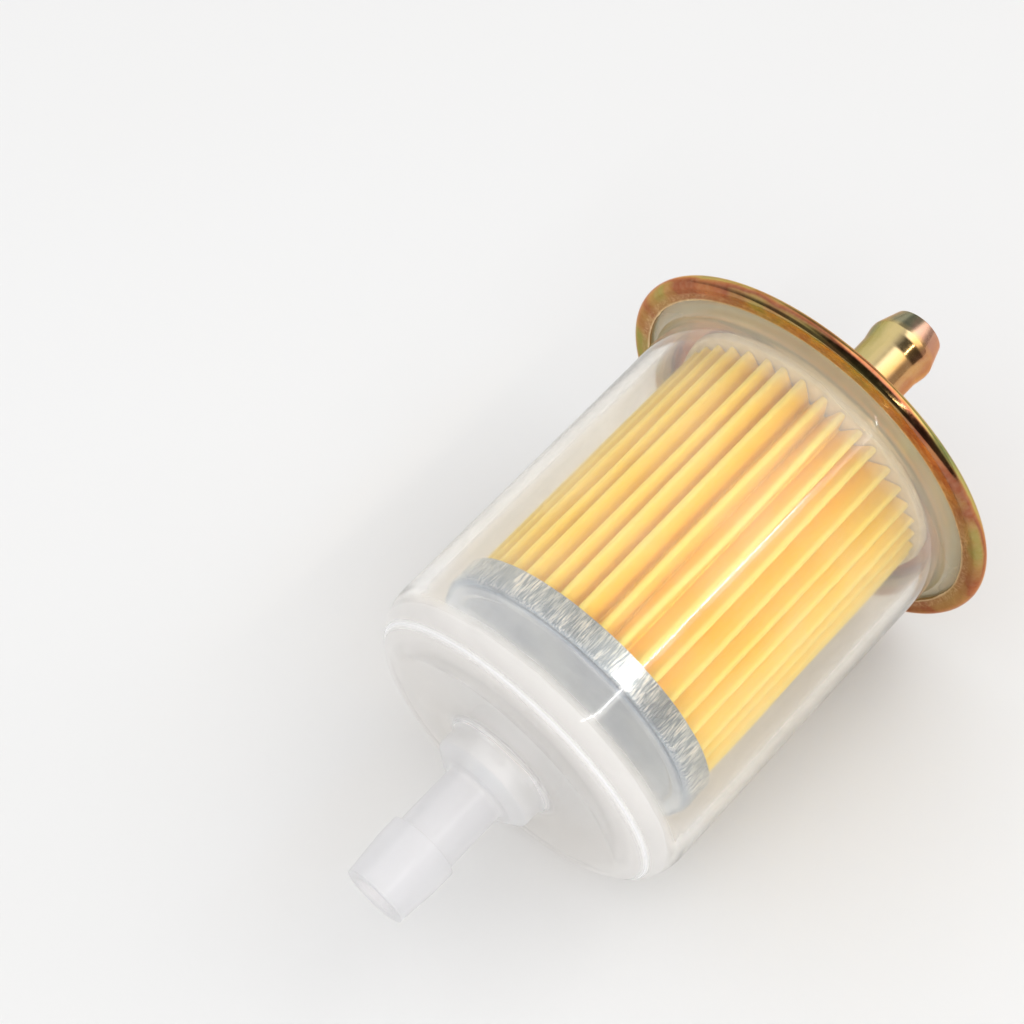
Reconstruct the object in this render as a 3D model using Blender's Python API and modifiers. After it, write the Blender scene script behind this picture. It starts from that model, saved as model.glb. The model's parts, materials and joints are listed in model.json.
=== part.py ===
"""Sealed inline fuel filter: clear moulded housing, crimped steel end cap, pleated paper element.

Every piece except the seam clip is turned or repeated about one axis. Lengths are given in
millimetres as r, the distance from that axis, and s, the place along it. s is 0 at the outer face of
the steel plate and grows towards the moulded inlet barb. The filter lies on its side, on the rolled
rim and on the housing's bottom edge, so its axis dips slightly towards the inlet.
"""

import math

import bmesh
import bpy
from mathutils import Matrix
from mathutils import Vector

MM = 0.001
MERGE = 0.000005

# Clearance between pieces that touch or are clamped on the real filter.
GAP = 0.1

# Sides of the turned pieces. All of those in the crimp share one count, so that their flats line up.
BODY_SIDES = 48
TUBE_SIDES = 32
CORE_SIDES = 32

# Steel end cap and its rolled rim.
RIM_RADIUS = 26.0
RIM_ROLL = 1.0
RIM_FRONT = -1.25
RIM_LIP_RADIUS = 23.3
CAP_SHEET = 0.4
RECESS_TOP_RADIUS = 20.8
RECESS_FLOOR_RADIUS = 20.0
RECESS_BEVEL_ACROSS = 0.4
RECESS_BEVEL_ALONG = 0.2
COIN_RADIUS = 7.6
COIN_DEPTH = 0.25

# Steel outlet tube.
TUBE_RADIUS = 4.06
TUBE_BORE = 3.0
TUBE_TIP = -21.8
TUBE_TIP_RADIUS = 3.38
BARB_BASE = -17.1
BARB_PEAK = -18.3
BARB_RADIUS = 4.37
BARB_SHOULDER_ACROSS = 0.08
BARB_SHOULDER_ALONG = 0.3
BARB_NOSE_ACROSS = 0.1
BARB_NOSE_ALONG = 0.7
TIP_BEVEL = 0.15
BEAD_RADIUS = 5.2
BEAD_LENGTH = 1.7
BEAD_TAIL = 0.2
FLARE_RADIUS = 5.4
FLARE_THICKNESS = 0.6
TUBE_HOLE_GAP = 0.3

# Moulded housing.
CUP_RADIUS = 21.4
CUP_WALL = 1.5
CUP_BOTTOM = 52.8
CUP_FLOOR_THICKNESS = 2.1
CUP_EDGE = 6.2
FLANGE_RADIUS = 24.6
FLANGE_FRONT = -0.35
FLANGE_BACK = 0.25
FLANGE_FILLET = 1.5
MOUTH_CHAMFER = 1.6
BOSS_RADIUS = 6.5
BOSS_TOP = 55.9
BOSS_CHAMFER_TOP = 57.0
BOSS_CHAMFER_RADIUS = 4.9
INLET_RADIUS = 3.77
INLET_BORE = 2.5
INLET_MOUTH = 4.0
INLET_MOUTH_DEPTH = 1.8
INLET_BARB_BASE = 65.4
INLET_BARB_RADIUS = 4.37
INLET_BARB_STRAIGHT = 2.6
INLET_TIP = 73.1
INLET_TIP_RADIUS = 3.9

# Filter element.
PLEATS = 40
PLEAT_OUTER = 17.4
PLEAT_INNER = 13.4
# Half widths of the folds as shares of a pleat's pitch, and how far their shoulders stand back.
OUTER_FOLD_SHARE = 0.13
INNER_FOLD_SHARE = 0.17
OUTER_FOLD_DROP = 0.3
INNER_FOLD_RISE = 0.25
PAPER = 0.4
ELEMENT_START = 1.6
ELEMENT_CAP_RADIUS = 18.2
ELEMENT_CAP_FACE = 43.1
ELEMENT_CAP_SKIRT = 3.8
ELEMENT_CAP_EDGE = 0.9
ELEMENT_CAP_SHEET = 0.3
POTTING = 1.0
CORE_RADIUS = 11.8
CORE_WALL = 0.5
CORE_HOLE_RADIUS = 2.0
CORE_HOLE_ROWS = 4
CORE_HOLE_SIDES = 10
CORE_BAR_LENGTH = 3 * CORE_RADIUS
CLIP_SHEET = 0.2
CLIP_LEG = 1.0
CLIP_HALF_WIDTH = 0.8
GASKET_INNER = 23.4
GASKET_OUTER = 24.4

# Colour, roughness, metalness and alpha of each finish.
FINISHES = {
    "clear_nylon": ((0.86, 0.88, 0.88), 0.12, 0.0, 0.3),
    "yellow_zinc_steel": ((0.72, 0.48, 0.28), 0.22, 1.0, 1.0),
    "black_rubber": ((0.03, 0.03, 0.03), 0.7, 0.0, 1.0),
    "filter_paper": ((0.85, 0.5, 0.12), 0.85, 0.0, 1.0),
    "tinplate": ((0.62, 0.65, 0.68), 0.28, 1.0, 1.0),
    "potting_sealant": ((0.55, 0.42, 0.28), 0.5, 0.0, 1.0),
}

# Places that follow from the dimensions above.
RIM_BACK = RIM_FRONT + 2 * RIM_ROLL
CAP_INNER_FACE = RIM_FRONT + CAP_SHEET
CUP_BORE = CUP_RADIUS - CUP_WALL
CUP_FLOOR = CUP_BOTTOM - CUP_FLOOR_THICKNESS
ELEMENT_CAP_INSIDE = ELEMENT_CAP_FACE - ELEMENT_CAP_SHEET
LOWER_POTTING_TOP = ELEMENT_CAP_INSIDE - GAP
ELEMENT_END = LOWER_POTTING_TOP - POTTING - GAP


def arc(centre_r, centre_s, radius, start, end, steps):
    """Points of a circular arc in the (r, s) plane. Angles are in degrees from +r towards +s."""
    points = []
    for step in range(steps + 1):
        angle = math.radians(start + (end - start) * step / steps)
        points.append((centre_r + radius * math.cos(angle), centre_s + radius * math.sin(angle)))
    return points


def lying_frame():
    """The filter's axis as a world matrix: local +Z runs towards the inlet and local +X points down.

    Two circles touch the surface underneath: the rolled rim, and the rounded edge of the housing's
    bottom. The dip of the axis brings both down to the same height.
    """
    rim_r = RIM_RADIUS - RIM_ROLL
    rim_s = RIM_FRONT + RIM_ROLL
    edge_r = CUP_RADIUS - CUP_EDGE
    edge_s = CUP_BOTTOM - CUP_EDGE
    along = edge_s - rim_s
    across = rim_r - edge_r
    dip = math.atan2(across, along) - math.asin((CUP_EDGE - RIM_ROLL) / math.hypot(along, across))
    height = rim_r * math.cos(dip) + RIM_ROLL + rim_s * math.sin(dip)
    inlet_end = INLET_TIP * math.cos(dip) + INLET_TIP_RADIUS * math.sin(dip)
    outlet_end = TUBE_TIP * math.cos(dip) - TUBE_TIP_RADIUS * math.sin(dip)
    middle = (inlet_end + outlet_end) / 2
    place = Matrix.Translation(Vector((-middle, 0.0, height)) * MM)
    return place @ Matrix.Rotation(math.pi / 2 + dip, 4, "Y")


def clear_scene():
    """Remove whatever the file holds."""
    for item in list(bpy.data.objects):
        bpy.data.objects.remove(item, do_unlink=True)


def new_collection(name):
    """A collection linked to the scene."""
    collection = bpy.data.collections.new(name)
    bpy.context.scene.collection.children.link(collection)
    return collection


def new_material(name):
    """A plain Principled material with one of the finishes."""
    colour, roughness, metallic, alpha = FINISHES[name]
    material = bpy.data.materials.new(name)
    material.use_nodes = True
    shader = material.node_tree.nodes["Principled BSDF"]
    shader.inputs["Base Color"].default_value = (*colour, 1.0)
    shader.inputs["Roughness"].default_value = roughness
    shader.inputs["Metallic"].default_value = metallic
    shader.inputs["Alpha"].default_value = alpha
    material.diffuse_color = (*colour, alpha)
    return material


def add_object(name, data, material, collection, axis):
    """Put object data on the filter's axis, with its material."""
    item = bpy.data.objects.new(name, data)
    if material is not None:
        data.materials.append(material)
    collection.objects.link(item)
    item.parent = axis
    return item


def profile_mesh(name, points, closed):
    """Profile in the local XZ plane, at +X."""
    vertices = [(r * MM, 0.0, s * MM) for r, s in points]
    edges = [(index, index + 1) for index in range(len(vertices) - 1)]
    if closed:
        edges.append((len(vertices) - 1, 0))
    mesh = bpy.data.meshes.new(name)
    mesh.from_pydata(vertices, edges, [])
    return mesh


def add_screw(item, sides):
    """Turn the profile once around the axis."""
    screw = item.modifiers.new("turn", "SCREW")
    screw.axis = "Z"
    screw.angle = math.tau
    screw.steps = sides
    screw.render_steps = sides
    screw.use_merge_vertices = True
    screw.merge_threshold = MERGE
    screw.use_smooth_shade = True
    item.rotation_euler.z = math.pi / sides


def turned(name, points, sides, material, collection, axis):
    """Solid of revolution from a closed section that runs down its outer side."""
    item = add_object(name, profile_mesh(name, points, True), material, collection, axis)
    add_screw(item, sides)
    return item


def pressed(name, points, sheet, sides, material, collection, axis):
    """Sheet-metal shell of revolution. The points give the outside face, and the sheet is inside."""
    item = add_object(name, profile_mesh(name, points, False), material, collection, axis)
    add_screw(item, sides)
    shell = item.modifiers.new("sheet", "SOLIDIFY")
    shell.thickness = sheet * MM
    shell.offset = -1.0
    shell.use_even_offset = True
    return item


def ring(r_inner, r_outer, s_start, s_end):
    """Section of a flat ring."""
    return [(r_outer, s_end), (r_outer, s_start), (r_inner, s_start), (r_inner, s_end)]


def build_housing(material, collection, axis):
    """Clear cup with its mouth flange, bottom boss and moulded inlet barb."""
    edge_r = CUP_RADIUS - CUP_EDGE
    edge_s = CUP_BOTTOM - CUP_EDGE
    inner_edge = CUP_EDGE - CUP_WALL
    fillet_r = CUP_RADIUS + FLANGE_FILLET
    fillet_s = FLANGE_BACK + FLANGE_FILLET
    points = [
        (INLET_TIP_RADIUS, INLET_TIP),
        (INLET_BARB_RADIUS, INLET_BARB_BASE + INLET_BARB_STRAIGHT),
        (INLET_BARB_RADIUS, INLET_BARB_BASE),
        (INLET_RADIUS, INLET_BARB_BASE),
        (INLET_RADIUS, BOSS_CHAMFER_TOP),
        (BOSS_CHAMFER_RADIUS, BOSS_CHAMFER_TOP),
        (BOSS_RADIUS, BOSS_TOP),
        (BOSS_RADIUS, CUP_BOTTOM + GAP),
    ]
    points += arc(edge_r, edge_s, CUP_EDGE, 90, 0, 6)
    points += arc(fillet_r, fillet_s, FLANGE_FILLET, 180, 270, 3)
    points += [
        (FLANGE_RADIUS, FLANGE_BACK),
        (FLANGE_RADIUS, FLANGE_FRONT),
        (CUP_BORE + MOUTH_CHAMFER, FLANGE_FRONT),
        (CUP_BORE, FLANGE_FRONT + MOUTH_CHAMFER),
    ]
    points += arc(CUP_BORE - inner_edge, CUP_FLOOR - inner_edge, inner_edge, 0, 90, 4)
    points += [
        (INLET_MOUTH, CUP_FLOOR),
        (INLET_BORE, CUP_FLOOR + INLET_MOUTH_DEPTH),
        (INLET_BORE, INLET_TIP),
    ]
    return turned("housing_cup", points, BODY_SIDES, material, collection, axis)


def build_end_cap(material, collection, axis):
    """Pressed steel cap. Its rim is rolled back over the housing's flange."""
    hole_radius = TUBE_RADIUS + TUBE_HOLE_GAP
    points = [(RIM_LIP_RADIUS, RIM_BACK)]
    points += arc(RIM_RADIUS - RIM_ROLL, RIM_FRONT + RIM_ROLL, RIM_ROLL, 90, -90, 6)
    points += [
        (RECESS_TOP_RADIUS + RECESS_BEVEL_ACROSS, RIM_FRONT),
        (RECESS_TOP_RADIUS, RIM_FRONT + RECESS_BEVEL_ALONG),
        (RECESS_FLOOR_RADIUS, -RECESS_BEVEL_ALONG),
        (RECESS_FLOOR_RADIUS - RECESS_BEVEL_ACROSS, 0.0),
        (COIN_RADIUS + COIN_DEPTH, 0.0),
        (COIN_RADIUS, COIN_DEPTH),
        (hole_radius, COIN_DEPTH),
    ]
    return pressed("end_cap", points, CAP_SHEET, BODY_SIDES, material, collection, axis)


def build_outlet_tube(material, collection, axis):
    """Steel tube with a hose barb, a bead against the plate's outside and a flare against its inside."""
    flare_start = COIN_DEPTH + CAP_SHEET + GAP
    flare_end = flare_start + FLARE_THICKNESS
    bead_start = COIN_DEPTH - GAP
    bead_round = BEAD_LENGTH / 2
    bead_middle = bead_start - bead_round
    points = [
        (FLARE_RADIUS, flare_end),
        (FLARE_RADIUS, flare_start),
        (TUBE_RADIUS, flare_start),
        (TUBE_RADIUS, bead_start),
    ]
    points += arc(BEAD_RADIUS - bead_round, bead_middle, bead_round, 90, -70, 6)
    points += [
        (TUBE_RADIUS, bead_start - BEAD_LENGTH - BEAD_TAIL),
        (TUBE_RADIUS, BARB_BASE),
        (BARB_RADIUS - BARB_SHOULDER_ACROSS, BARB_BASE - BARB_SHOULDER_ALONG),
        (BARB_RADIUS, BARB_PEAK),
        (BARB_RADIUS - BARB_NOSE_ACROSS, BARB_PEAK - BARB_NOSE_ALONG),
        (TUBE_TIP_RADIUS, TUBE_TIP + TIP_BEVEL),
        (TUBE_TIP_RADIUS - TIP_BEVEL, TUBE_TIP),
        (TUBE_BORE, TUBE_TIP),
        (TUBE_BORE, flare_end),
    ]
    return turned("outlet_tube", points, TUBE_SIDES, material, collection, axis)


def build_gasket(material, collection, axis):
    """Flat rubber ring clamped between the cap's annulus and the housing's flange."""
    section = ring(GASKET_INNER, GASKET_OUTER, CAP_INNER_FACE + GAP, FLANGE_FRONT - GAP)
    return turned("rim_gasket", section, BODY_SIDES, material, collection, axis)


def pleat_outline():
    """One closed zigzag of rounded folds, as (x, y) points of the paper's middle surface."""
    pitch = math.tau / PLEATS
    outer_half = OUTER_FOLD_SHARE * pitch
    inner_half = INNER_FOLD_SHARE * pitch
    outer_shoulder = PLEAT_OUTER - OUTER_FOLD_DROP
    inner_shoulder = PLEAT_INNER + INNER_FOLD_RISE
    folds = [
        (0.0, PLEAT_OUTER),
        (outer_half, outer_shoulder),
        (pitch / 2 - inner_half, inner_shoulder),
        (pitch / 2, PLEAT_INNER),
        (pitch / 2 + inner_half, inner_shoulder),
        (pitch - outer_half, outer_shoulder),
    ]
    outline = []
    for pleat in range(PLEATS):
        for turn, radius in folds:
            angle = pleat * pitch + turn
            outline.append((radius * math.cos(angle), radius * math.sin(angle)))
    return outline


def upright_ribbon(name, outline, cyclic, thickness, material, collection, axis):
    """Strip as high as the element that follows an outline, thickened evenly to both sides."""
    height = ELEMENT_END - ELEMENT_START
    curve = bpy.data.curves.new(name, "CURVE")
    curve.dimensions = "3D"
    curve.extrude = height / 2 * MM
    spline = curve.splines.new("POLY")
    spline.points.add(len(outline) - 1)
    for point, (x, y) in zip(spline.points, outline):
        point.co = (x * MM, y * MM, 0.0, 1.0)
    spline.use_cyclic_u = cyclic
    item = add_object(name, curve, material, collection, axis)
    item.location.z = (ELEMENT_START + height / 2) * MM
    weld = item.modifiers.new("weld", "WELD")
    weld.merge_threshold = MERGE
    shell = item.modifiers.new("sheet", "SOLIDIFY")
    shell.thickness = thickness * MM
    shell.offset = 0.0
    shell.use_even_offset = True
    return item


def build_media(material, collection, axis):
    """Pleated paper."""
    return upright_ribbon("pleated_media", pleat_outline(), True, PAPER, material, collection, axis)


def build_element_cap(material, collection, axis):
    """Tinplate cap that closes the inlet end of the element."""
    skirt_end = ELEMENT_CAP_FACE - ELEMENT_CAP_SKIRT
    edge_r = ELEMENT_CAP_RADIUS - ELEMENT_CAP_EDGE
    edge_s = ELEMENT_CAP_FACE - ELEMENT_CAP_EDGE
    points = [(0.0, ELEMENT_CAP_FACE)]
    points += arc(edge_r, edge_s, ELEMENT_CAP_EDGE, 90, 0, 3)
    points.append((ELEMENT_CAP_RADIUS, skirt_end))
    return pressed("element_cap", points, ELEMENT_CAP_SHEET, BODY_SIDES, material, collection, axis)


def build_upper_potting(material, collection, axis):
    """Sealant ring between the paper and the steel plate."""
    section = ring(CORE_RADIUS, ELEMENT_CAP_RADIUS, CAP_SHEET + GAP, ELEMENT_START - GAP)
    return turned("upper_potting", section, BODY_SIDES, material, collection, axis)


def build_lower_potting(material, collection, axis):
    """Sealant disc between the paper and the element's cap."""
    radius = ELEMENT_CAP_RADIUS - ELEMENT_CAP_EDGE - ELEMENT_CAP_SHEET
    points = [
        (0.0, LOWER_POTTING_TOP),
        (radius, LOWER_POTTING_TOP),
        (radius, LOWER_POTTING_TOP - POTTING),
        (0.0, LOWER_POTTING_TOP - POTTING),
    ]
    profile = profile_mesh("lower_potting", points, False)
    item = add_object("lower_potting", profile, material, collection, axis)
    add_screw(item, BODY_SIDES)
    return item


def build_core(material, collection, cutters, axis):
    """Perforated tube. Each cutter bar drills two opposite holes, and alternate rows are staggered."""
    start = ELEMENT_START + GAP
    end = ELEMENT_END - GAP
    section = ring(CORE_RADIUS - CORE_WALL, CORE_RADIUS, start, end)
    core = turned("core_tube", section, CORE_SIDES, material, collection, axis)
    bars = []
    pitch = (end - start) / CORE_HOLE_ROWS
    for row in range(CORE_HOLE_ROWS):
        for side in range(2):
            bar = bpy.data.meshes.new("hole_bar")
            shape = bmesh.new()
            bmesh.ops.create_cone(
                shape,
                cap_ends=True,
                segments=CORE_HOLE_SIDES,
                radius1=CORE_HOLE_RADIUS * MM,
                radius2=CORE_HOLE_RADIUS * MM,
                depth=CORE_BAR_LENGTH * MM,
            )
            angle = math.pi / 2 * side + math.pi / 4 * (row % 2)
            height = (start + pitch * (row + 0.5)) * MM
            shape.transform(
                Matrix.Translation((0.0, 0.0, height))
                @ Matrix.Rotation(angle, 4, "Z")
                @ Matrix.Rotation(math.pi / 2, 4, "Y")
            )
            shape.to_mesh(bar)
            shape.free()
            bars.append(add_object("hole_bar", bar, None, cutters, axis))
    for index, bar in enumerate(bars):
        bar.hide_render = True
        bar.display_type = "WIRE"
        cut = core.modifiers.new(f"hole_{index}", "BOOLEAN")
        cut.operation = "DIFFERENCE"
        cut.solver = "EXACT"
        cut.object = bar
    return core


def build_seam_clip(material, collection, axis):
    """Folded strip that grips one inner fold of the paper from inside."""
    back = PLEAT_INNER - PAPER / 2 - GAP - CLIP_SHEET / 2
    outline = [
        (back + CLIP_LEG, CLIP_HALF_WIDTH),
        (back, CLIP_HALF_WIDTH),
        (back, -CLIP_HALF_WIDTH),
        (back + CLIP_LEG, -CLIP_HALF_WIDTH),
    ]
    item = upright_ribbon("media_seam_clip", outline, False, CLIP_SHEET, material, collection, axis)
    item.rotation_euler.z = math.pi / PLEATS
    return item


def main():
    """Build the whole filter."""
    clear_scene()
    parts = new_collection("fuel_filter")
    cutters = new_collection("cutters")
    axis = bpy.data.objects.new("filter_axis", None)
    axis.matrix_world = lying_frame()
    parts.objects.link(axis)

    build_housing(new_material("clear_nylon"), parts, axis)
    build_end_cap(new_material("yellow_zinc_steel"), parts, axis)
    build_outlet_tube(new_material("yellow_zinc_steel"), parts, axis)
    build_gasket(new_material("black_rubber"), parts, axis)
    build_media(new_material("filter_paper"), parts, axis)
    build_seam_clip(new_material("tinplate"), parts, axis)
    build_core(new_material("tinplate"), parts, cutters, axis)
    build_element_cap(new_material("tinplate"), parts, axis)
    build_upper_potting(new_material("potting_sealant"), parts, axis)
    build_lower_potting(new_material("potting_sealant"), parts, axis)


main()
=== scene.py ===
"""Looks of the fuel filter: its pieces in full detail, their materials, a pale floor, soft light and
the camera.

Lengths are in millimetres as r, the distance from the filter's axis, and s, the place along it. s is 0
at the outer face of the steel plate and grows towards the moulded inlet barb, as in the solids.
"""

import json
import math
import random

import bmesh
import bpy
from mathutils import Matrix
from mathutils import Vector
from mathutils import noise


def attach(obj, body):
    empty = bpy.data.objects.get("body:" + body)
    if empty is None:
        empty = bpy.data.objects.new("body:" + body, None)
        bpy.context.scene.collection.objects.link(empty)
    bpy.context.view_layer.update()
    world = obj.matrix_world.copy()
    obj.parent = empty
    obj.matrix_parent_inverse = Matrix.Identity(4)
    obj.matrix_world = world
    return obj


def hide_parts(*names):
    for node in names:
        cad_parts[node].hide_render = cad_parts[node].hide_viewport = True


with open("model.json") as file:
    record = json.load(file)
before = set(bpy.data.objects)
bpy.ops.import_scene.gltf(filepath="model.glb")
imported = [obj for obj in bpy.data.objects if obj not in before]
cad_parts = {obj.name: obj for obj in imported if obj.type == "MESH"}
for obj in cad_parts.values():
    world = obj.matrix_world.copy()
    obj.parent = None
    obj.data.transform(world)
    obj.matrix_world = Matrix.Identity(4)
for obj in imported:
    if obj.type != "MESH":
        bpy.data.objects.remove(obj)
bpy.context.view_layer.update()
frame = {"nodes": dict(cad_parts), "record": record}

MM = 0.001

# Segments of the turned pieces.
BODY_SIDES = 224
TUBE_SIDES = 112

# Steel end cap. Its crimped lip wanders by a slow wave and a short ripple, from LIP_START inwards.
RIM_RADIUS = 25.94
RIM_ROLL = 1.0
RIM_FRONT = -1.25
LIP_RADIUS = 23.3
LIP_DIP = 0.1
LIP_START = 24.8
LIP_BACK = 0.2
LIP_RISE = 0.3
CRIMP_WAVE = 0.10
CRIMP_RIPPLE = 0.05
CRIMP_TILT = 0.3
CAP_SHEET = 0.4
RECESS_LAND = 23.3
RECESS_TOP = 20.9
RECESS_FLOOR = 20.0
COIN_RADIUS = 7.7
COIN_SLOPE = 0.35
COIN_DEPTH = 0.25
CAP_HOLE_GAP = 0.3

# Steel outlet tube.
TUBE_RADIUS = 4.06
TUBE_BORE = 3.0
TUBE_TIP = -21.8
TUBE_TIP_RADIUS = 3.38
TUBE_TIP_BEVEL = 0.1
BARB_START = -16.2
BARB_FOOT = -17.9
BARB_PEAK = -18.65
BARB_RADIUS = 4.37
BEAD_RADIUS = 5.2
BEAD_LENGTH = 1.7
BEAD_BACK = 0.15
BEAD_FILLET = 0.25
FLARE_RADIUS = 5.4
FLARE_FRONT = 0.75
FLARE_BACK = 1.35
TUBE_SHOULDER = 0.14

# Moulded housing.
CUP_RADIUS = 21.38
CUP_WALL = 1.5
CUP_BOTTOM = 52.8
CUP_FLOOR = 50.7
CUP_EDGE = 6.2
CUP_INNER_EDGE = 4.0
FLANGE_RADIUS = 24.6
FLANGE_FRONT = -0.35
FLANGE_BACK = 0.25
CUP_MOUTH = 1.25
CUP_MIDDLE = 24.0
BOTTOM_MIDDLE = 10.0
FLOOR_MIDDLE = 8.0
BOSS_RADIUS = 6.5
BOSS_SHOULDER = 55.9
BOSS_TOP = 57.0
BOSS_TOP_RADIUS = 4.9
INLET_RADIUS = 3.77
INLET_BORE = 2.5
INLET_MOUTH = 4.0
INLET_MOUTH_DEPTH = 1.8
INLET_BARB_BASE = 65.4
INLET_BARB_LENGTH = 2.6
INLET_BARB_RADIUS = 4.37
INLET_TIP = 73.1
INLET_TIP_RADIUS = 3.9
INLET_TIP_BEVEL = 0.2

# Filter paper. A fold that sways by an angle in radians dips by SWAY_DIP times its square.
PLEATS = 40
PLEAT_OUTER = 17.42
PLEAT_INNER = 13.5
PAPER = 0.34
OUTER_FOLD = 0.26
INNER_FOLD = 0.34
FOLD_WRAP = 82.0
OUTER_FOLD_STEPS = 8
INNER_FOLD_STEPS = 6
SWAY_DIP = 1000.0
MEDIA_ROWS = 25
MEDIA_START = 1.65
MEDIA_END = 41.4

# Tinplate cap of the element, and the sealant at its other end.
ELEMENT_CAP_RADIUS = 18.18
ELEMENT_CAP_FACE = 43.08
ELEMENT_CAP_SKIRT = 3.75
ELEMENT_CAP_SHEET = 0.3
ELEMENT_CAP_RECESS = 0.22
ELEMENT_CAP_RECESS_EDGE = 15.6
ELEMENT_CAP_LAND = 16.1
ELEMENT_CAP_MIDDLE = 4.0
SKIRT_WAIST = 2.2
SKIRT_WAIST_DEPTH = 0.03
SKIRT_DENTS_START = 0.9
SKIRT_DENTS_RISE = 1.5
SKIRT_DENT = 0.05
POTTING_INNER = 12.0
POTTING_OUTER = 17.9
POTTING_FOOT = 18.1
POTTING_FRONT = 0.5
POTTING_BACK = 1.5
POTTING_SQUEEZE = 0.12
POTTING_SQUEEZE_START = 16.0
POTTING_SQUEEZE_RUN = 2.0

# Zones of the materials in millimetres: where each starts, and where it is full. R zones are distances
# from the axis, S zones are places along it, and SIDE is across the axis, level with the floor.
ROLL_FRONT_R = (24.0, 24.8)
ROLL_FRONT_S = (-0.2, -0.7)
ROLL_BACK_R = (22.6, 23.0)
ROLL_BACK_S = (-0.3, 0.2)
LIP_R = (24.5, 24.1)
LIP_S = (0.4, 0.7)
WORN_OUTER_R = (23.6, 23.4)
WORN_INNER_R = (22.6, 22.9)
WORN_S = (-0.4, 0.1)
# Painted shade and highlight across the outlet tube, from its dark olive side to its pale cream side.
TUBE_SHADE_SIDE = (-4.4, 4.4)
TUBE_GOLD_S = (-1.2, -3.0)
TUBE_TIP_S = (-18.6, -19.6)
CUP_FLOOR_START_S = (46.4, 47.8)
CUP_FLOOR_END_S = (51.5, 51.0)
CUP_FLOOR_R = (19.9, 19.5)
CUP_FLOOR_EDGE_R = (15.5, 17.2)
CUP_LOWER_S = (40.5, 44.0)
CUP_MOUTH_S = (6.0, 1.6)
# Painted reflection of the gold cap: an amber tint in the nylon at the flange.
FLANGE_REFLECTION_S = (3.0, 0.8)
BOSS_S = (51.5, 53.0)
BOSS_R = (8.2, 6.6)
INLET_S = (55.5, 58.0)
SKIRT_S = (43.0, 42.4)
# Painted dark reflection on the element cap's rolled shoulder.
SHOULDER_REFLECTION_S = (42.0, 42.5)
SHOULDER_REFLECTION_R = (17.1, 17.7)
# Painted light on the paper, from painted shade down the folds to a painted highlight on the ridges.
PLEAT_LIGHT_R = (13.8, 17.5)

# Camera and studio, in metres.
CAMERA_PLACE = Vector((0.11865, 0.11532, 0.24744))
CAMERA_TARGET = Vector((-0.01053, -0.03620, 0.0))
CAMERA_ROLL = math.radians(-8.05)
CAMERA_LENS = 85.64
FLOOR_SIZE = 3.0
STRIP_PLACE = Vector((0.08, 0.30, 0.325))
STRIP_TARGET = Vector((0.08, 0.0, 0.03))
STRIP_SIZE = (0.44, 0.005)
STRIP_POWER = 0.30

# Room round the object: its base radiance, and patches painted over it in turn. Each has its azimuth and
# elevation, the angles from its centre where it is full and where it ends, its radiance and its tint.
# The dark patches show only in reflections, and are left out of the light on dull surfaces and of what
# is seen through the housing.
ROOM_BASE = (0.47, 0.475, 0.49)
ROOM_LIGHT = (
    (200.0, 90.0, 20.0, 45.0, 0.60, (1.0, 1.0, 1.0)),
    (148.0, 42.0, 16.0, 34.0, 2.00, (1.0, 0.99, 0.97)),
    (250.0, 38.0, 30.0, 52.0, 0.88, (1.0, 1.0, 1.0)),
    (350.0, 22.0, 22.0, 48.0, 0.95, (1.0, 1.0, 1.0)),
    (48.0, 50.0, 24.0, 46.0, 1.12, (1.0, 0.99, 0.97)),
)
ROOM_DARK = (
    (195.0, 25.0, 10.0, 22.0, 0.30, (1.0, 1.0, 1.0)),
    (340.0, 12.0, 18.0, 40.0, 0.14, (0.95, 0.97, 1.0)),
    (55.0, 12.0, 40.0, 62.0, 0.07, (0.9, 0.95, 1.0)),
    (42.0, 52.0, 29.0, 46.0, 0.03, (0.9, 0.95, 1.0)),
)


# ---------------------------------------------------------------- frame

def filter_axis():
    """The filter's axis as a matrix: local +Z towards the inlet, local +X down, origin at s = 0."""
    mounts = {mount["name"]: mount for mount in frame["record"]["mounts"]}
    along = Vector(mounts["inlet_hose_stop"]["axis"]).normalized()
    plate = Vector(mounts["outlet_plate"]["pos_m"])
    tube = frame["nodes"]["outlet_tube"].data.vertices
    centre = sum((vertex.co for vertex in tube), Vector()) / len(tube)
    origin = centre - along * (centre - plate).dot(along)
    side = Vector((0.0, 1.0, 0.0))
    down = side.cross(along)
    place = Matrix((down, side, along)).transposed().to_4x4()
    place.translation = origin
    return place


AXIS = filter_axis()


# ---------------------------------------------------------------- shapes

def arc(centre_r, centre_s, radius, start, end, steps):
    """Points of a circular arc in the (r, s) plane, with angles in degrees from +r towards +s."""
    points = []
    for step in range(steps + 1):
        angle = math.radians(start + (end - start) * step / steps)
        points.append((centre_r + radius * math.cos(angle), centre_s + radius * math.sin(angle)))
    return points


def rounded(corners, closed=True, steps=5):
    """Outline through (r, s, fillet radius) corners, each turned into an arc."""
    points = []
    last = len(corners) - 1
    for index, (r, s, radius) in enumerate(corners):
        here = Vector((r, s))
        end_point = not closed and index in (0, last)
        if radius <= 0.0 or end_point:
            points.append((r, s))
            continue
        back = Vector(corners[index - 1][:2]) - here
        ahead = Vector(corners[(index + 1) % len(corners)][:2]) - here
        half = back.angle(ahead) / 2
        reach = min(radius / math.tan(half), 0.48 * back.length, 0.48 * ahead.length)
        radius = reach * math.tan(half)
        back.normalize()
        ahead.normalize()
        centre = here + (back + ahead).normalized() * (radius / math.sin(half))
        first = here + back * reach - centre
        second = here + ahead * reach - centre
        start = math.atan2(first.y, first.x)
        sweep = math.remainder(math.atan2(second.y, second.x) - start, math.tau)
        for step in range(steps + 1):
            angle = start + sweep * step / steps
            points.append((centre.x + radius * math.cos(angle), centre.y + radius * math.sin(angle)))
    return points


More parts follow.
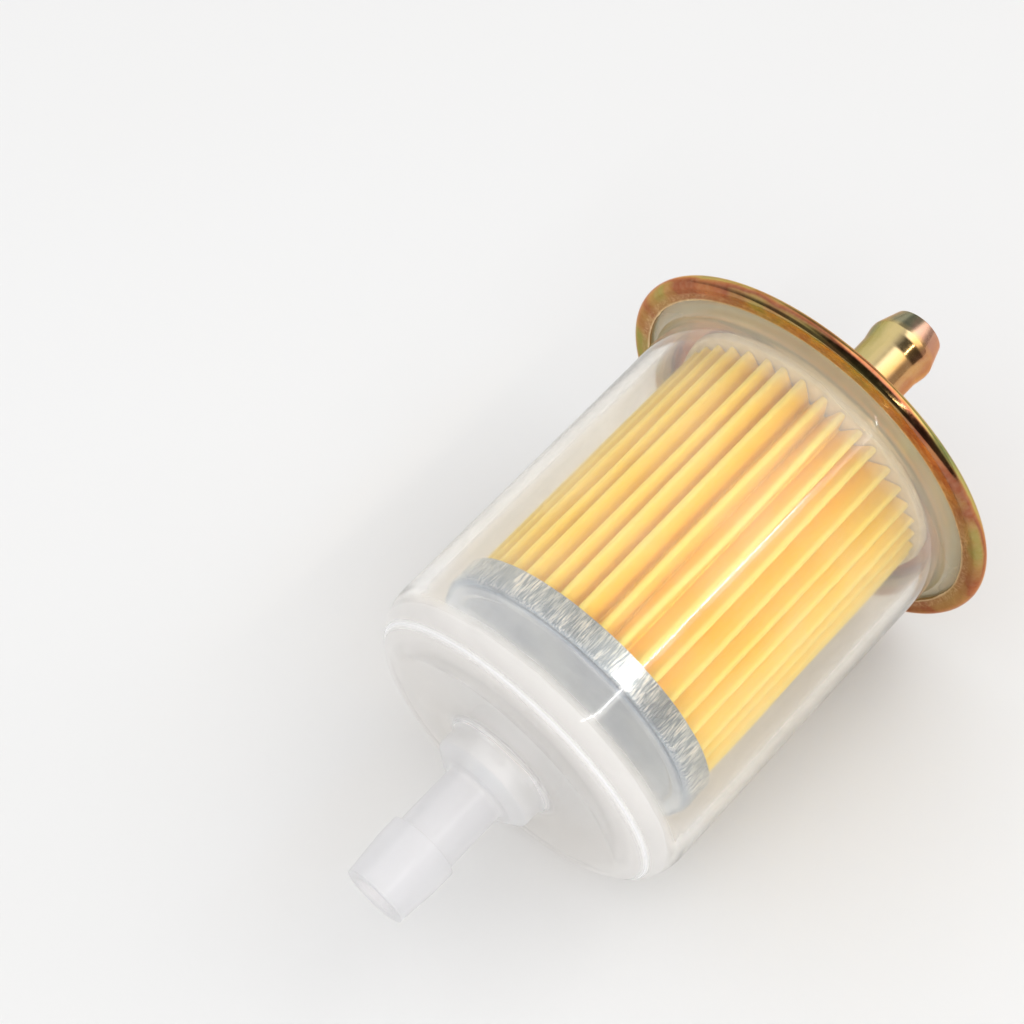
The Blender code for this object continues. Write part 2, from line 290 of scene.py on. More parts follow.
def sheet(path, thickness):
    """Closed section of a pressed sheet. The path is its outside face, and the metal is inside it."""
    inner = []
    for index, (r, s) in enumerate(path):
        before = Vector(path[max(index - 1, 0)])
        after = Vector(path[min(index + 1, len(path) - 1)])
        along = (after - before).normalized()
        inward = Vector((along.y, -along.x))
        inner.append((max(r + inward.x * thickness, 0.0), s + inward.y * thickness))
    return path + inner[::-1]


def finish_mesh(name, vertices, faces, sharp=38.0):
    """Object from points in the axis's own frame, shaded smooth with sharp edges kept."""
    mesh = bpy.data.meshes.new(name)
    mesh.from_pydata([AXIS @ (Vector(vertex) * MM) for vertex in vertices], [], faces)
    shape = bmesh.new()
    shape.from_mesh(mesh)
    bmesh.ops.remove_doubles(shape, verts=shape.verts, dist=1e-7)
    bmesh.ops.recalc_face_normals(shape, faces=shape.faces)
    shape.to_mesh(mesh)
    shape.free()
    mesh.shade_smooth()
    mesh.set_sharp_from_angle(angle=math.radians(sharp))
    item = bpy.data.objects.new(name, mesh)
    bpy.context.scene.collection.objects.link(item)
    return item


def revolve(name, section, sides, wobble=None):
    """Solid of revolution from a closed section. wobble(r, s, angle) moves a point off the true form."""
    vertices = []
    faces = []
    count = len(section)
    for turn in range(sides):
        angle = math.tau * turn / sides
        for r, s in section:
            if wobble is not None:
                r, s = wobble(r, s, angle)
            vertices.append((r * math.cos(angle), r * math.sin(angle), s))
    for turn in range(sides):
        ahead = (turn + 1) % sides
        for index in range(count):
            following = (index + 1) % count
            if section[index][0] == 0.0 and section[following][0] == 0.0:
                continue
            faces.append((
                turn * count + index,
                turn * count + following,
                ahead * count + following,
                ahead * count + index,
            ))
    return finish_mesh(name, vertices, faces)


def share(value):
    """Value kept between 0 and 1."""
    return max(0.0, min(1.0, value))


def ring_noise(angle, repeats, seed):
    """Smooth noise that closes on itself round the axis, from -1 to 1."""
    return noise.noise(Vector((repeats * math.cos(angle), repeats * math.sin(angle), seed)))


# ---------------------------------------------------------------- materials

class Shader:
    """A material's node tree, with short ways to add and join nodes."""

    def __init__(self, name):
        self.material = bpy.data.materials.new(name)
        self.material.use_nodes = True
        self.tree = self.material.node_tree
        self.principled = self.tree.nodes["Principled BSDF"]

    def node(self, kind, **settings):
        """Add a node with its properties set, and its sockets, by name or index, set or linked."""
        made = self.tree.nodes.new(kind)
        sockets = settings.pop("sockets", {})
        for key, value in settings.items():
            setattr(made, key, value)
        for key, value in sockets.items():
            if isinstance(value, bpy.types.NodeSocket):
                self.tree.links.new(value, made.inputs[key])
            else:
                made.inputs[key].default_value = value
        return made

    def set(self, **values):
        """Set or link the Principled shader's sockets."""
        for key, value in values.items():
            socket = self.principled.inputs[key.replace("_", " ")]
            if isinstance(value, bpy.types.NodeSocket):
                self.tree.links.new(value, socket)
            else:
                socket.default_value = value

    def place(self, scale=(1.0, 1.0, 1.0)):
        """The point in the axis's own frame, in metres, stretched."""
        coordinates = self.node("ShaderNodeTexCoord").outputs["Object"]
        local = self.node("ShaderNodeMapping", vector_type="TEXTURE", sockets={
            "Vector": coordinates, "Location": AXIS.translation, "Rotation": AXIS.to_euler(),
        }).outputs["Vector"]
        return self.node("ShaderNodeVectorMath", operation="MULTIPLY",
                         sockets={0: local, 1: scale}).outputs["Vector"]

    def noise(self, vector, scale, detail=3.0, roughness=0.5, distortion=0.0):
        """Noise factor."""
        made = self.node("ShaderNodeTexNoise", sockets={
            "Vector": vector, "Scale": scale, "Detail": detail,
            "Roughness": roughness, "Distortion": distortion,
        })
        return made.outputs["Fac"]

    def ramp(self, factor, stops):
        """Colour along a ramp of (position, colour) stops."""
        made = self.node("ShaderNodeValToRGB", sockets={"Fac": factor})
        ramp = made.color_ramp
        for index, (position, colour) in enumerate(stops):
            stop = ramp.elements[index] if index < 2 else ramp.elements.new(position)
            stop.position = position
            stop.color = (*colour, 1.0)
        return made.outputs["Color"]

    def math(self, operation, first, second):
        """Result of a Math node."""
        return self.node("ShaderNodeMath", operation=operation, sockets={0: first, 1: second}).outputs[0]

    def remap(self, value, low, high, to_low, to_high):
        """Value moved linearly, and clamped, from one range to another."""
        made = self.node("ShaderNodeMapRange", sockets={
            "Value": value, "From Min": low, "From Max": high, "To Min": to_low, "To Max": to_high,
        })
        return made.outputs["Result"]

    def zone(self, value, limits, strength=1.0):
        """Nothing before a zone's start, rising to its strength where it is full. Limits in millimetres."""
        start, full = limits
        return self.remap(value, start * MM, full * MM, 0.0, strength)

    def blend(self, factor, first, second):
        """Mix of two numbers."""
        made = self.node("ShaderNodeMix", sockets={0: factor, 2: first, 3: second})
        return made.outputs[0]

    def mix(self, factor, first, second):
        """Mix of two colours."""
        made = self.node("ShaderNodeMix", data_type="RGBA")
        for socket, value in zip((made.inputs[0], made.inputs[6], made.inputs[7]),
                                 (factor, first, second)):
            if isinstance(value, bpy.types.NodeSocket):
                self.tree.links.new(value, socket)
            elif isinstance(value, tuple):
                socket.default_value = (*value, 1.0)
            else:
                socket.default_value = value
        return made.outputs[2]

    def radius(self):
        """Distance from the filter's axis, in metres."""
        flat = self.place((1.0, 1.0, 0.0))
        return self.node("ShaderNodeVectorMath", operation="LENGTH", sockets={0: flat}).outputs["Value"]

    def along(self):
        """Place along the filter's axis, in metres."""
        return self.node("ShaderNodeSeparateXYZ", sockets={0: self.place()}).outputs["Z"]

    def let_light_through(self, tint):
        """Let light fall straight through on what is behind the surface, dimmed by a tint."""
        output = self.tree.nodes["Material Output"]
        path = self.node("ShaderNodeLightPath")
        window = self.node("ShaderNodeBsdfTransparent", sockets={"Color": (*tint, 1.0)})
        both = self.node("ShaderNodeMixShader", sockets={
            0: path.outputs["Is Shadow Ray"],
            1: self.principled.outputs[0],
            2: window.outputs[0],
        })
        self.tree.links.new(both.outputs[0], output.inputs["Surface"])

    def bump(self, height, strength, distance):
        """Bump the surface by a height."""
        made = self.node("ShaderNodeBump", sockets={
            "Height": height, "Strength": strength, "Distance": distance,
        })
        self.set(Normal=made.outputs["Normal"])


def yellow_zinc():
    """Zinc plating under a yellow chromate film that drifts between copper red, gold and olive."""
    shader = Shader("yellow_zinc_steel")
    place = shader.place()
    along = shader.along()
    radius = shader.radius()
    drift = shader.noise(shader.place((1.0, 1.0, 1.5)), 42.0, 2.5, 0.55, 1.1)
    patches = shader.noise(place, 150.0, 3.0, 0.5, 0.6)
    blend = shader.math("ADD", shader.math("MULTIPLY", drift, 0.74), shader.math("MULTIPLY", patches, 0.26))
    front = shader.math("MULTIPLY", shader.zone(radius, ROLL_FRONT_R, -0.12),
                        shader.zone(along, ROLL_FRONT_S))
    back = shader.math("MULTIPLY", shader.zone(radius, ROLL_BACK_R, 0.13),
                       shader.zone(along, ROLL_BACK_S))
    blend = shader.math("ADD", blend, shader.math("ADD", front, back))
    film = shader.ramp(blend, (
        (0.24, (0.20, 0.28, 0.09)),
        (0.32, (0.40, 0.40, 0.12)),
        (0.40, (0.58, 0.45, 0.13)),
        (0.47, (0.52, 0.23, 0.075)),
        (0.53, (0.45, 0.145, 0.06)),
        (0.60, (0.34, 0.10, 0.05)),
        (0.68, (0.46, 0.27, 0.09)),
        (0.75, (0.32, 0.34, 0.09)),
    ))
    streaks = shader.noise(shader.place((1.0, 1.0, 0.12)), 420.0, 2.0, 0.5, 0.4)
    # Painted light on the tube: by its place across the tube, the film runs from painted shade on one side
    # to a painted highlight towards the other, with the film's own streaks and patches over it. The tip's
    # iridescent ramp takes the same painted shade.
    side = shader.node("ShaderNodeSeparateXYZ", sockets={0: place}).outputs["Y"]
    turn = shader.math("ADD", shader.remap(side, TUBE_SHADE_SIDE[0] * MM, TUBE_SHADE_SIDE[1] * MM, -0.16, 0.62),
                       shader.math("ADD", shader.math("MULTIPLY", streaks, 0.34),
                                   shader.math("MULTIPLY", patches, 0.20)))
    gold = shader.ramp(turn, (
        (0.14, (0.16, 0.27, 0.18)),
        (0.28, (0.42, 0.38, 0.12)),
        (0.44, (0.74, 0.58, 0.25)),
        (0.60, (0.80, 0.60, 0.32)),
        (0.74, (0.72, 0.42, 0.14)),
        (0.88, (0.55, 0.24, 0.11)),
    ))
    iris = shader.ramp(turn, (
        (0.20, (0.40, 0.38, 0.18)),
        (0.36, (0.15, 0.24, 0.20)),
        (0.52, (0.30, 0.32, 0.22)),
        (0.64, (0.70, 0.38, 0.30)),
        (0.80, (0.50, 0.24, 0.18)),
    ))
    film = shader.mix(shader.zone(along, TUBE_GOLD_S), film, gold)
    film = shader.mix(shader.zone(along, TUBE_TIP_S, 0.85), film, iris)
    grain = shader.noise(place, 1500.0, 4.0, 0.6)
    lip = shader.math("MULTIPLY", shader.zone(radius, LIP_R), shader.zone(along, LIP_S))
    crushed = shader.noise(place, 2300.0, 5.0, 0.7, 0.8)
    scuffs = shader.remap(crushed, 0.45, 0.66, 0.0, 1.0)
    scuffed = shader.mix(scuffs, (0.40, 0.20, 0.09), (0.95, 0.74, 0.46))
    bright = shader.mix(shader.remap(grain, 0.35, 0.75, 0.0, 0.12), film, (0.92, 0.74, 0.46))
    worn = shader.math("MULTIPLY", shader.zone(radius, WORN_OUTER_R, 0.9),
                       shader.zone(radius, WORN_INNER_R))
    worn = shader.math("MULTIPLY", worn, shader.zone(along, WORN_S))
    bright = shader.mix(worn, bright, (0.96, 0.84, 0.52))
    shader.set(
        Base_Color=shader.mix(shader.math("MULTIPLY", lip, 0.45), bright, scuffed),
        Metallic=1.0,
        Roughness=shader.math("ADD", shader.remap(grain, 0.3, 0.75, 0.10, 0.20),
                              shader.math("MULTIPLY", lip, 0.06)),
        Specular_Tint=(1.0, 0.68, 0.50, 1.0),
        Coat_Weight=0.08,
        Coat_Roughness=0.06,
    )
    height = shader.math("ADD", shader.math("MULTIPLY", grain, 0.15),
                         shader.math("MULTIPLY", crushed, lip))
    shader.bump(height, 0.6, 0.00004)
    return shader.material


def clear_nylon():
    """Clear, slightly hazy nylon: frosted across the thick bottom, milky along the inlet barb."""
    shader = Shader("clear_nylon")
    along = shader.along()
    radius = shader.radius()
    haze = shader.noise(shader.place(), 160.0, 2.0)
    inside = shader.math("MULTIPLY", shader.zone(along, CUP_FLOOR_START_S),
                         shader.zone(along, CUP_FLOOR_END_S))
    disc = shader.math("MULTIPLY", inside, shader.zone(radius, CUP_FLOOR_R))
    fillet = shader.zone(radius, CUP_FLOOR_EDGE_R)
    boss = shader.math("MULTIPLY", shader.zone(along, BOSS_S), shader.zone(radius, BOSS_R))
    mouth = shader.zone(along, CUP_MOUTH_S, 0.25)
    barb = shader.zone(along, INLET_S)
    wall = shader.math("SUBTRACT", shader.remap(haze, 0.3, 0.7, 0.965, 0.925), mouth)
    frosted = shader.remap(fillet, 0.0, 1.0, 0.50, 0.02)
    for cover, value in ((disc, frosted), (boss, 0.56), (barb, 0.48)):
        wall = shader.blend(cover, wall, value)
    milky = shader.math("MAXIMUM", shader.math("MAXIMUM", disc, boss), barb)
    tint = shader.mix(shader.zone(along, CUP_LOWER_S), (1.0, 0.960, 0.885), (1.0, 0.977, 0.942))
    # Amber tint at the flange: a painted reflection of the gold cap behind it.
    tint = shader.mix(shader.zone(along, FLANGE_REFLECTION_S), tint, (0.94, 0.86, 0.60))
    tint = shader.mix(milky, tint, (0.965, 0.965, 0.975))
    shader.set(
        Base_Color=shader.mix(barb, tint, (0.87, 0.87, 0.89)),
        Transmission_Weight=wall,
        Roughness=shader.math("ADD", shader.remap(haze, 0.3, 0.7, 0.04, 0.08),
                              shader.math("MULTIPLY", milky, 0.26)),
        IOR=1.42,
    )
    ripple = shader.noise(shader.place((1.0, 1.0, 0.35)), 220.0, 1.0)
    clear = shader.remap(milky, 0.0, 1.0, 1.0, 0.0)
    shader.bump(shader.math("MULTIPLY", ripple, clear), 0.03, 0.0002)
    shader.let_light_through((0.96, 0.935, 0.90))
    return shader.material


def tinplate():
    """Bright tinplate: short draw marks up the skirt, a smooth face with faint clouds."""
    shader = Shader("tinplate")
    streaks = shader.noise(shader.place((1.0, 1.0, 0.10)), 5600.0, 2.0, 0.55, 0.1)
    breaks = shader.noise(shader.place((1.0, 1.0, 0.6)), 300.0, 3.0, 0.6, 0.5)
    skirt = shader.zone(shader.along(), SKIRT_S)
    cloud = shader.noise(shader.place(), 110.0, 3.0)
    marks = shader.math("MULTIPLY", shader.remap(streaks, 0.42, 0.62, 0.0, 1.0),
                        shader.remap(breaks, 0.40, 0.60, 0.25, 1.0))
    drawn = shader.ramp(marks, (
        (0.0, (0.30, 0.36, 0.44)),
        (0.45, (0.56, 0.62, 0.68)),
        (1.0, (0.94, 0.95, 0.96)),
    ))
    plain = shader.ramp(cloud, ((0.35, (0.75, 0.82, 0.92)), (0.65, (0.88, 0.95, 1.0))))
    # Darker blue-grey band round the rolled shoulder: a painted dark reflection.
    shoulder = shader.math("MULTIPLY", shader.zone(shader.along(), SHOULDER_REFLECTION_S, 0.75),
                           shader.zone(shader.radius(), SHOULDER_REFLECTION_R))
    face = shader.mix(shoulder, plain, (0.30, 0.38, 0.49))
    shader.set(
        Base_Color=shader.mix(skirt, face, drawn),
        Metallic=1.0,
        Roughness=shader.math("ADD", shader.remap(cloud, 0.3, 0.7, 0.16, 0.24),
                              shader.math("MULTIPLY", skirt, 0.06)),
    )
    shader.bump(shader.math("MULTIPLY", marks, skirt), 0.10, 0.00003)
    return shader.material


def filter_paper():
    """Resin-treated filter paper: painted highlight pales the ridges, painted shade deepens the folds'
    yellow.
    """
    shader = Shader("filter_paper")
    # By distance from the axis: painted shade, deeper yellow, down the folds, and a paler painted highlight
    # on the ridges.
    body = shader.ramp(shader.zone(shader.radius(), PLEAT_LIGHT_R), (
        (0.0, (1.0, 0.69, 0.045)),
        (0.55, (1.0, 0.69, 0.05)),
        (0.85, (0.98, 0.74, 0.10)),
        (1.0, (0.95, 0.80, 0.22)),
    ))
    fibre = shader.noise(shader.place((1.0, 1.0, 0.4)), 2600.0, 5.0, 0.65, 0.4)
    mottle = shader.noise(shader.place(), 210.0, 3.0)
    toned = shader.mix(shader.remap(mottle, 0.3, 0.7, 0.0, 0.12), body, (0.98, 0.62, 0.08))
    shader.set(
        Base_Color=shader.mix(shader.remap(fibre, 0.35, 0.7, 0.0, 0.10), toned, (1.0, 0.90, 0.50)),
        Roughness=shader.remap(fibre, 0.3, 0.7, 0.78, 0.95),
        Specular_IOR_Level=0.2,
    )
    shader.bump(fibre, 0.30, 0.00008)
    return shader.material


def sealant():
    """Cured plastisol sealant."""
    shader = Shader("potting_sealant")
    speck = shader.noise(shader.place(), 900.0, 4.0)
    shader.set(
        Base_Color=shader.ramp(speck, ((0.3, (0.72, 0.62, 0.42)), (0.7, (0.86, 0.78, 0.60)))),
        Roughness=shader.remap(speck, 0.3, 0.7, 0.42, 0.62),
    )
    shader.bump(speck, 0.2, 0.0001)
    return shader.material


def rubber():
    """Black nitrile rubber."""
    shader = Shader("black_rubber")
    speck = shader.noise(shader.place(), 1200.0, 4.0)
    shader.set(
        Base_Color=shader.ramp(speck, ((0.3, (0.018, 0.018, 0.02)), (0.7, (0.05, 0.05, 0.052)))),
        Roughness=shader.remap(speck, 0.3, 0.7, 0.5, 0.75),
    )
    shader.bump(speck, 0.25, 0.00008)
    return shader.material


MATERIALS = {
    "yellow_zinc_steel": yellow_zinc(),
    "clear_nylon": clear_nylon(),
    "tinplate": tinplate(),
    "filter_paper": filter_paper(),
    "potting_sealant": sealant(),
    "black_rubber": rubber(),
}


def dress(item, slot, *nodes):
    """Give a new piece its material and body, and hide the CAD nodes it is drawn in place of."""
    item.data.materials.clear()
    item.data.materials.append(MATERIALS[slot])
    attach(item, "root")
    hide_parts(*nodes)


# ---------------------------------------------------------------- pieces

def build_housing():
    """Clear cup with its mouth flange, domed edge, boss and inlet barb."""
    corners = [
        (INLET_TIP_RADIUS, INLET_TIP, 0.45),
        (INLET_BARB_RADIUS, INLET_BARB_BASE + INLET_BARB_LENGTH, 2.0),
        (INLET_BARB_RADIUS, INLET_BARB_BASE, 0.12),
        (INLET_RADIUS, INLET_BARB_BASE, 0.25),
        (INLET_RADIUS, BOSS_TOP, 0.45),
        (BOSS_TOP_RADIUS, BOSS_TOP, 0.3),
        (BOSS_RADIUS, BOSS_SHOULDER, 0.45),
        (BOSS_RADIUS, CUP_BOTTOM, 1.2),
        (BOTTOM_MIDDLE, CUP_BOTTOM, 0.0),
    ]
    points = rounded(corners, closed=False)
    points += arc(CUP_RADIUS - CUP_EDGE, CUP_BOTTOM - CUP_EDGE, CUP_EDGE, 90, 0, 24)
    lower = [
        (CUP_RADIUS, CUP_MIDDLE, 0.0),
        (CUP_RADIUS, FLANGE_BACK, 1.5),
        (FLANGE_RADIUS, FLANGE_BACK, 0.12),
        (FLANGE_RADIUS, FLANGE_FRONT, 0.12),
        (CUP_RADIUS, FLANGE_FRONT, 0.2),
        (CUP_RADIUS - CUP_WALL, CUP_MOUTH, 1.2),
        (CUP_RADIUS - CUP_WALL, CUP_MIDDLE, 0.0),
    ]
    points += rounded(lower, closed=False, steps=8)
    points += arc(CUP_RADIUS - CUP_WALL - CUP_INNER_EDGE, CUP_FLOOR - CUP_INNER_EDGE,
                  CUP_INNER_EDGE, 0, 90, 20)
    mouth = [
        (FLOOR_MIDDLE, CUP_FLOOR, 0.0),
        (INLET_MOUTH, CUP_FLOOR, 0.5),
        (INLET_BORE, CUP_FLOOR + INLET_MOUTH_DEPTH, 0.8),
        (INLET_BORE, INLET_TIP - INLET_TIP_BEVEL, 0.0),
        (INLET_BORE + INLET_TIP_BEVEL, INLET_TIP, 0.0),
    ]
    points += rounded(mouth, closed=False)
    dress(revolve("housing_shell", points, BODY_SIDES), "clear_nylon", "housing_cup")


def build_end_cap():
    """Pressed steel cap: rolled rim with a slightly uneven crimped lip, recess and coined centre."""
    roll_r = RIM_RADIUS - RIM_ROLL
    roll_s = RIM_FRONT + RIM_ROLL
    path = [(LIP_RADIUS, RIM_FRONT + 2 * RIM_ROLL - LIP_DIP)]
    path += arc(roll_r, roll_s, RIM_ROLL, 92, -90, 18)
    pressed = [
        (RECESS_LAND, RIM_FRONT, 0.0),
        (RECESS_TOP, RIM_FRONT, 0.7),
        (RECESS_FLOOR, 0.0, 0.7),
        (COIN_RADIUS + COIN_SLOPE, 0.0, 0.4),
        (COIN_RADIUS, COIN_DEPTH, 0.4),
        (TUBE_RADIUS + CAP_HOLE_GAP, COIN_DEPTH, 0.0),
    ]
    path += rounded(pressed, closed=False)

    def crimp(r, s, angle):
        lip = share((s - LIP_BACK) / LIP_RISE) * share(LIP_START - r)
        uneven = CRIMP_WAVE * ring_noise(angle, 9.0, 3.0) + CRIMP_RIPPLE * ring_noise(angle, 34.0, 7.0)
        return r + lip * uneven, s + CRIMP_TILT * lip * uneven

    item = revolve("crimped_cap", sheet(path, CAP_SHEET), BODY_SIDES, crimp)
    dress(item, "yellow_zinc_steel", "end_cap")


def build_outlet_tube():
    """Steel hose barb with its rolled bead and inner flare."""
    bead = BEAD_LENGTH / 2
    bead_front = BEAD_BACK - BEAD_LENGTH
    corners = [
        (FLARE_RADIUS, FLARE_BACK, 0.2),
        (FLARE_RADIUS, FLARE_FRONT, 0.15),
        (TUBE_RADIUS, FLARE_FRONT, 0.1),
        (TUBE_RADIUS, TUBE_SHOULDER, 0.05),
    ]
    points = rounded(corners, closed=False)
    points += arc(BEAD_RADIUS - bead, BEAD_BACK - bead, bead, 88, -55, 12)
    barb = [
        (TUBE_RADIUS + BEAD_FILLET, bead_front - 0.1, 0.3),
        (TUBE_RADIUS, bead_front - 0.8, 0.8),
        (TUBE_RADIUS, BARB_START, 2.5),
        (BARB_RADIUS, BARB_FOOT, 2.0),
        (BARB_RADIUS, BARB_PEAK, 1.2),
        (TUBE_TIP_RADIUS, TUBE_TIP + TUBE_TIP_BEVEL, 0.15),
        (TUBE_TIP_RADIUS - 0.15, TUBE_TIP, 0.1),
        (TUBE_BORE, TUBE_TIP, 0.08),
        (TUBE_BORE, FLARE_BACK, 0.1),
    ]
    points += rounded(barb, closed=False)
    dress(revolve("outlet_barb", points, TUBE_SIDES), "yellow_zinc_steel", "outlet_tube")


def fold_row(pleats, height):
    """Points of the paper's middle line at one height, which runs from 0 to 1 along the pleats."""
    row = []
    pitch = math.tau / PLEATS
    for index, pleat in enumerate(pleats):
        sway = pleat["sway"] * math.sin(math.pi * height * pleat["waves"] + pleat["phase"])
        tip = index * pitch + pleat["lean"] + sway
        radius = PLEAT_OUTER + pleat["reach"] - SWAY_DIP * sway * sway
        centre = radius - OUTER_FOLD - PAPER / 2
        for step in range(OUTER_FOLD_STEPS + 1):
            turn = FOLD_WRAP * (2 * step / OUTER_FOLD_STEPS - 1)
            row.append((centre, tip, OUTER_FOLD, math.radians(turn)))
        valley = (index + 0.5) * pitch
        for step in range(INNER_FOLD_STEPS + 1):
            turn = 180.0 + FOLD_WRAP * (1 - 2 * step / INNER_FOLD_STEPS)
            row.append((PLEAT_INNER + INNER_FOLD, valley, INNER_FOLD, math.radians(turn)))
    points = []
    for centre, angle, radius, turn in row:
        direction = Vector((math.cos(angle), math.sin(angle)))
        aside = Vector((-direction.y, direction.x))
        spread = direction * math.cos(turn) + aside * math.sin(turn)
        points.append(direction * centre + spread * radius)
    return points


def build_media():
    """Pleated paper. Each fold leans and sways a little, as hand-gathered pleats do."""
    dice = random.Random(11)
    pleats = []
    for _ in range(PLEATS):
        pleats.append({
            "lean": math.radians(dice.uniform(-0.75, 0.75)),
            "sway": math.radians(dice.uniform(0.1, 0.55)),
            "waves": dice.choice((1.0, 1.0, 2.0)),
            "phase": dice.uniform(0.0, math.tau),
            "reach": dice.uniform(-0.22, 0.0),
        })
    vertices = []
    for row in range(MEDIA_ROWS):
        height = row / (MEDIA_ROWS - 1)
        s = MEDIA_START + (MEDIA_END - MEDIA_START) * height
        points = fold_row(pleats, height)
        count = len(points)
        skins = ([], [])
        for index, point in enumerate(points):
            along = (points[(index + 1) % count] - points[index - 1]).normalized()
            outward = Vector((along.y, -along.x)) * (PAPER / 2)
            skins[0].append((point.x + outward.x, point.y + outward.y, s))
            skins[1].append((point.x - outward.x, point.y - outward.y, s))
        vertices += skins[0] + skins[1]
    faces = []
    stride = 2 * count
    for row in range(MEDIA_ROWS - 1):
        for index in range(count):
            ahead = (index + 1) % count
            low = row * stride
            high = low + stride
            faces.append((low + index, low + ahead, high + ahead, high + index))
            faces.append((low + count + ahead, low + count + index,
                          high + count + index, high + count + ahead))
    for low, flip in ((0, False), ((MEDIA_ROWS - 1) * stride, True)):
        for index in range(count):
            ahead = (index + 1) % count
            quad = (low + index, low + count + index, low + count + ahead, low + ahead)
            faces.append(quad[::-1] if flip else quad)
    item = finish_mesh("pleated_paper", vertices, faces, 60.0)
    dress(item, "filter_paper", "pleated_media")


def build_element_cap():
    """Tinplate cap with a rolled shoulder and a shallow recessed face."""
    face = ELEMENT_CAP_FACE
    recess = face - ELEMENT_CAP_RECESS
    corners = [
        (0.0, recess, 0.0),
        (ELEMENT_CAP_MIDDLE, recess, 0.0),
        (ELEMENT_CAP_RECESS_EDGE, recess, 0.3),
        (ELEMENT_CAP_LAND, face, 0.3),
        (ELEMENT_CAP_RADIUS, face, 1.0),
        (ELEMENT_CAP_RADIUS - SKIRT_WAIST_DEPTH, face - SKIRT_WAIST, 0.0),
        (ELEMENT_CAP_RADIUS, face - ELEMENT_CAP_SKIRT, 0.0),
    ]
    path = rounded(corners, closed=False, steps=7)

    def dents(r, s, angle):
        skirt = share((face - SKIRT_DENTS_START - s) / SKIRT_DENTS_RISE)
        return r - skirt * SKIRT_DENT * (1.0 + ring_noise(angle, 5.0, 1.0)), s

    item = revolve("element_end", sheet(path, ELEMENT_CAP_SHEET), BODY_SIDES, dents)
    dress(item, "tinplate", "element_cap")


def build_upper_potting():
    """Sealant ring between the paper and the plate, with an uneven squeezed-out edge."""
    corners = [
        (POTTING_OUTER, POTTING_BACK, 0.3),
        (POTTING_FOOT, POTTING_FRONT, 0.2),
        (POTTING_INNER, POTTING_FRONT, 0.1),
        (POTTING_INNER, POTTING_BACK, 0.2),
    ]

    def squeeze(r, s, angle):
        edge = max(0.0, (r - POTTING_SQUEEZE_START) / POTTING_SQUEEZE_RUN)
        return r + edge * POTTING_SQUEEZE * ring_noise(angle, 6.0, 5.0), s

    item = revolve("sealant_bead", rounded(corners), BODY_SIDES, squeeze)
    dress(item, "potting_sealant", "upper_potting")


def dress_hidden_nodes():
    """Better materials on the pieces that keep their CAD shape inside the filter."""
    finishes = {
        "rim_gasket": "black_rubber",
        "core_tube": "tinplate",
        "media_seam_clip": "tinplate",
        "lower_potting": "potting_sealant",
    }
    for node, slot in finishes.items():
        item = frame["nodes"][node]
        item.data.materials.clear()
        item.data.materials.append(MATERIALS[slot])


# ---------------------------------------------------------------- studio

def build_floor():
    """Plain pale floor."""
    mesh = bpy.data.meshes.new("floor")
    half = FLOOR_SIZE / 2
    mesh.from_pydata([(-half, -half, 0), (half, -half, 0), (half, half, 0), (-half, half, 0)],
                     [], [(0, 1, 2, 3)])
    floor = bpy.data.objects.new("floor", mesh)
    bpy.context.scene.collection.objects.link(floor)
    shader = Shader("floor_paper")
    shader.set(
        Base_Color=shader.ramp(shader.noise(shader.place(), 6.0, 3.0), (
            (0.3, (0.845, 0.845, 0.845)),
            (0.7, (0.86, 0.863, 0.87)),
        )),
        Roughness=0.6,
        Specular_IOR_Level=0.2,
    )
    mesh.materials.append(shader.material)


def direction(azimuth, elevation):
    """Unit vector towards a place on the sky, from degrees round from +X and above the floor."""
    turn = math.radians(azimuth)
    rise = math.radians(elevation)
    return Vector((math.cos(rise) * math.cos(turn), math.cos(rise) * math.sin(turn), math.sin(rise)))


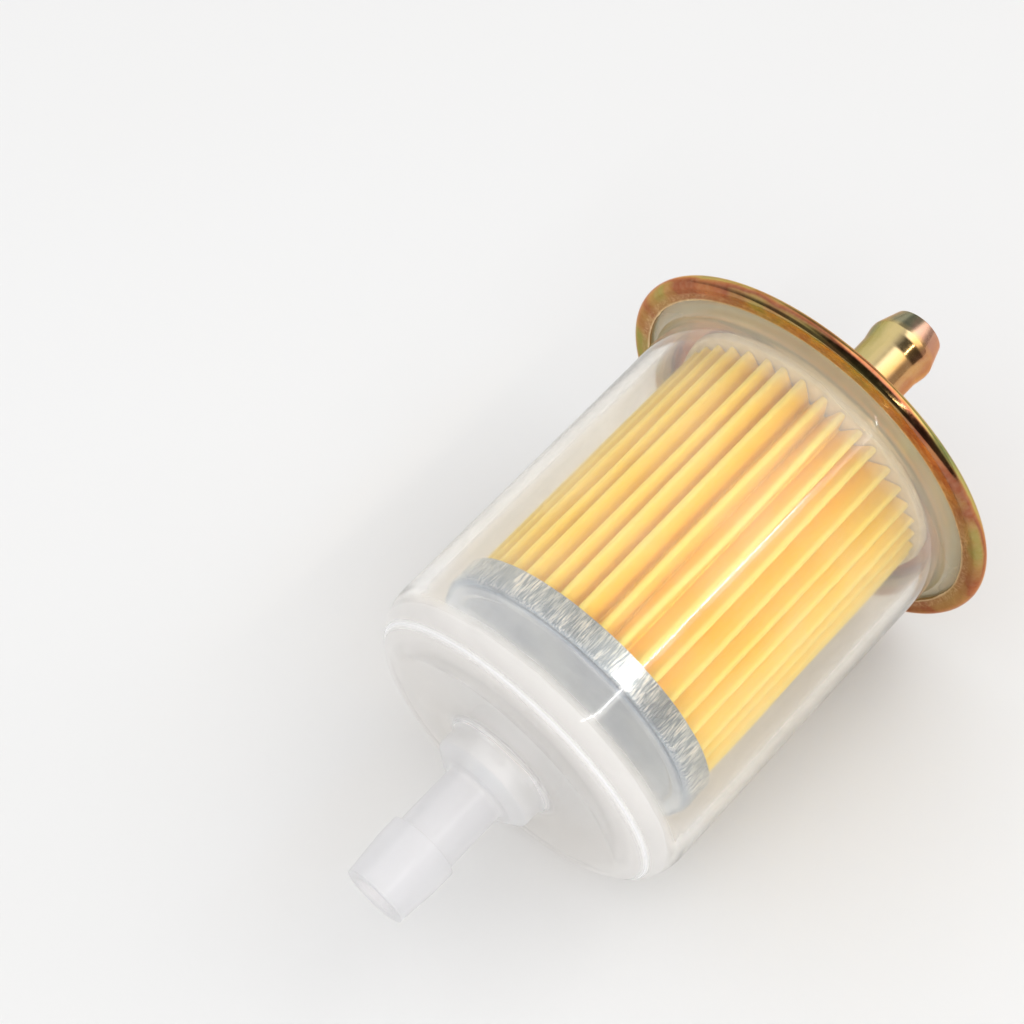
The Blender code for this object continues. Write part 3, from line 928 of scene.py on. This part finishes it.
def build_world():
    """Room round the object: soft panels of light, and dark patches that only reflections show."""
    world = bpy.data.worlds.new("studio")
    world.use_nodes = True
    tree = world.node_tree

    def node(kind, links=(), **sockets):
        made = tree.nodes.new(kind)
        for index, value in sockets.items():
            made.inputs[index.replace("_", " ")].default_value = value
        for index, source in links:
            tree.links.new(source, made.inputs[index])
        return made

    coordinates = node("ShaderNodeTexCoord").outputs["Generated"]
    path = node("ShaderNodeLightPath").outputs
    mirrored = node("ShaderNodeMath", [(0, path["Is Glossy Ray"]), (1, path["Is Transmission Ray"])])
    mirrored.operation = "SUBTRACT"
    mirrored.use_clamp = True
    colour = node("ShaderNodeRGB").outputs[0]
    colour.default_value = (*ROOM_BASE, 1.0)
    for patches, seen in ((ROOM_LIGHT, None), (ROOM_DARK, mirrored.outputs[0])):
        for azimuth, elevation, inner, outer, level, tint in patches:
            facing = node("ShaderNodeVectorMath", [(0, coordinates)])
            facing.operation = "DOT_PRODUCT"
            facing.inputs[1].default_value = direction(azimuth, elevation)
            edge = node("ShaderNodeMapRange", [("Value", facing.outputs["Value"])],
                        From_Min=math.cos(math.radians(outer)), From_Max=math.cos(math.radians(inner)))
            edge.interpolation_type = "SMOOTHSTEP"
            cover = edge.outputs["Result"]
            if seen is not None:
                both = node("ShaderNodeMath", [(0, cover), (1, seen)])
                both.operation = "MULTIPLY"
                cover = both.outputs[0]
            blend = node("ShaderNodeMix")
            blend.data_type = "RGBA"
            blend.inputs[7].default_value = (*(level * channel for channel in tint), 1.0)
            tree.links.new(cover, blend.inputs[0])
            tree.links.new(colour, blend.inputs[6])
            colour = blend.outputs[2]
    tree.links.new(colour, tree.nodes["Background"].inputs["Color"])
    bpy.context.scene.world = world


def build_strip():
    """Slim strip light whose reflection runs along the housing."""
    data = bpy.data.lights.new("strip", "AREA")
    data.shape = "RECTANGLE"
    data.size, data.size_y = STRIP_SIZE
    data.energy = STRIP_POWER
    light = bpy.data.objects.new("strip", data)
    light.location = STRIP_PLACE
    light.rotation_euler = (STRIP_TARGET - STRIP_PLACE).to_track_quat("-Z", "Y").to_euler()
    bpy.context.scene.collection.objects.link(light)


def build_camera():
    """Camera at the photographed angle, with its small roll."""
    data = bpy.data.cameras.new("camera")
    data.lens = CAMERA_LENS
    data.sensor_width = 36.0
    data.clip_start = 0.01
    camera = bpy.data.objects.new("camera", data)
    forward = (CAMERA_TARGET - CAMERA_PLACE).normalized()
    level = forward.cross(Vector((0.0, 0.0, 1.0))).normalized()
    upward = level.cross(forward)
    right = level * math.cos(CAMERA_ROLL) + upward * math.sin(CAMERA_ROLL)
    top = upward * math.cos(CAMERA_ROLL) - level * math.sin(CAMERA_ROLL)
    pose = Matrix((right, top, -forward)).transposed().to_4x4()
    pose.translation = CAMERA_PLACE
    camera.matrix_world = pose
    bpy.context.scene.collection.objects.link(camera)
    bpy.context.scene.camera = camera


build_housing()
build_end_cap()
build_outlet_tube()
build_media()
build_element_cap()
build_upper_potting()
dress_hidden_nodes()
build_floor()
build_world()
build_strip()
build_camera()
bpy.context.scene.view_settings.view_transform = "Standard"
